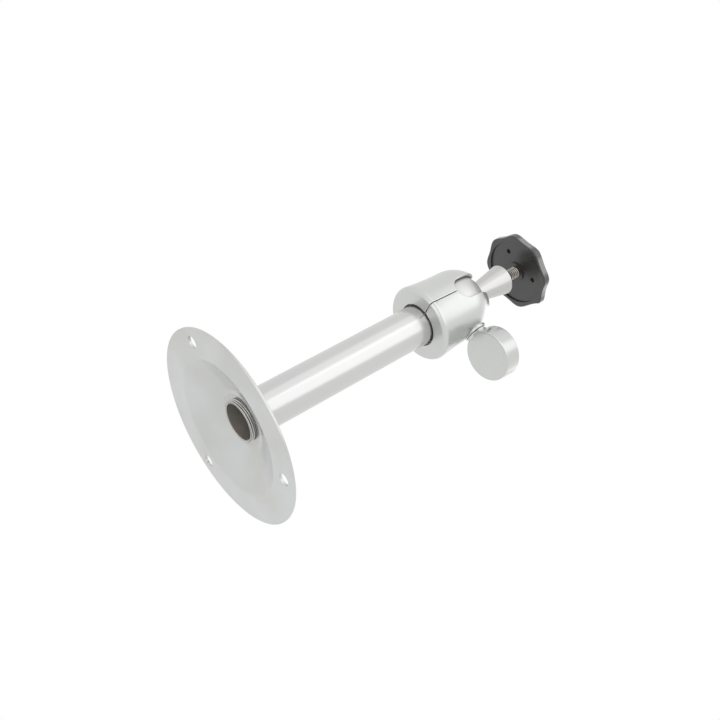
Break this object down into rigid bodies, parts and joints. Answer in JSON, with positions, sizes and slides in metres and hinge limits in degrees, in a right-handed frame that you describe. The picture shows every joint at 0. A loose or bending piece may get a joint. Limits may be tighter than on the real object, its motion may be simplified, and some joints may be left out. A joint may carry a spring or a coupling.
{
  "type": "camera bracket",
  "caption": "Tube bracket for a small camera: dished screw-on flange, swivelling split head with a ball joint, clamp screw and a stud with a lock nut.",
  "frame": {"origin": "centre of the flange's mounting plane", "axes": "+Z along the tube from the flange to the camera stud, the head's slot faces -Y, the clamp screw points to +X"},
  "size_m": [0.1024, 0.1024, 0.2084],
  "materials": {
    "flange_steel": "satin",
    "tube_steel": "satin",
    "head_casting": "satin",
    "stem_steel": "polished",
    "clamp_casting": "satin",
    "screw_steel": "satin",
    "stud_steel": "satin",
    "nut_plastic": "gloss",
    "washer_plastic": "matte"
  },
  "bodies": {
    "base": {"flange": "flange_steel", "threaded_bush": "tube_steel", "tube": "tube_steel", "swivel_collar": "tube_steel", "swivel_washer": "washer_plastic"},
    "head": {"head_half_screw_side": "head_casting", "head_half_plain_side": "head_casting", "head_screw": "screw_steel", "head_pin": "screw_steel"},
    "ball": {"ball_stem": "stem_steel"},
    "stud": {"camera_stud": "stud_steel"},
    "nut_insert": {"lock_nut_insert": "stud_steel"},
    "nut_knob": {"lock_nut_knob": "nut_plastic"},
    "clamp_shank": {"clamp_screw_shank": "screw_steel"},
    "clamp_knob": {"clamp_screw_knob": "clamp_casting"}
  },
  "joints": [
    {"name": "head_pan", "type": "hinge", "parent": "base", "child": "head", "pos_m": [0, 0, 0.129], "axis": [0, 0, 1], "continuous": true},
    {"name": "ball_tilt", "type": "hinge", "parent": "head", "child": "ball", "pos_m": [0, 0, 0.14875], "axis": [1, 0, 0], "range_deg": [-12, 90]},
    {"name": "ball_spin", "type": "hinge", "parent": "ball", "child": "stud", "pos_m": [0, 0, 0.14875], "axis": [0, 0, 1], "continuous": true},
    {"name": "nut_advance", "type": "slide", "parent": "stud", "child": "nut_insert", "axis": [0, 0, 1], "range_m": [-0.01016, 0.00254]},
    {"name": "nut_turn", "type": "hinge", "parent": "nut_insert", "child": "nut_knob", "pos_m": [0, 0, 0.1995], "axis": [0, 0, 1], "range_deg": [-2880, 720]},
    {"name": "clamp_advance", "type": "slide", "parent": "head", "child": "clamp_shank", "axis": [1, 0, 0], "range_m": [0, 0.003]},
    {"name": "clamp_turn", "type": "hinge", "parent": "clamp_shank", "child": "clamp_knob", "pos_m": [0.03415, 0, 0.14875], "axis": [1, 0, 0], "range_deg": [0, 1080]}
  ],
  "couplings": [
    {"joint": "nut_turn", "follows": "nut_advance", "rad_per_m": 4947.3},
    {"joint": "clamp_turn", "follows": "clamp_advance", "rad_per_m": 6283.1}
  ]
}
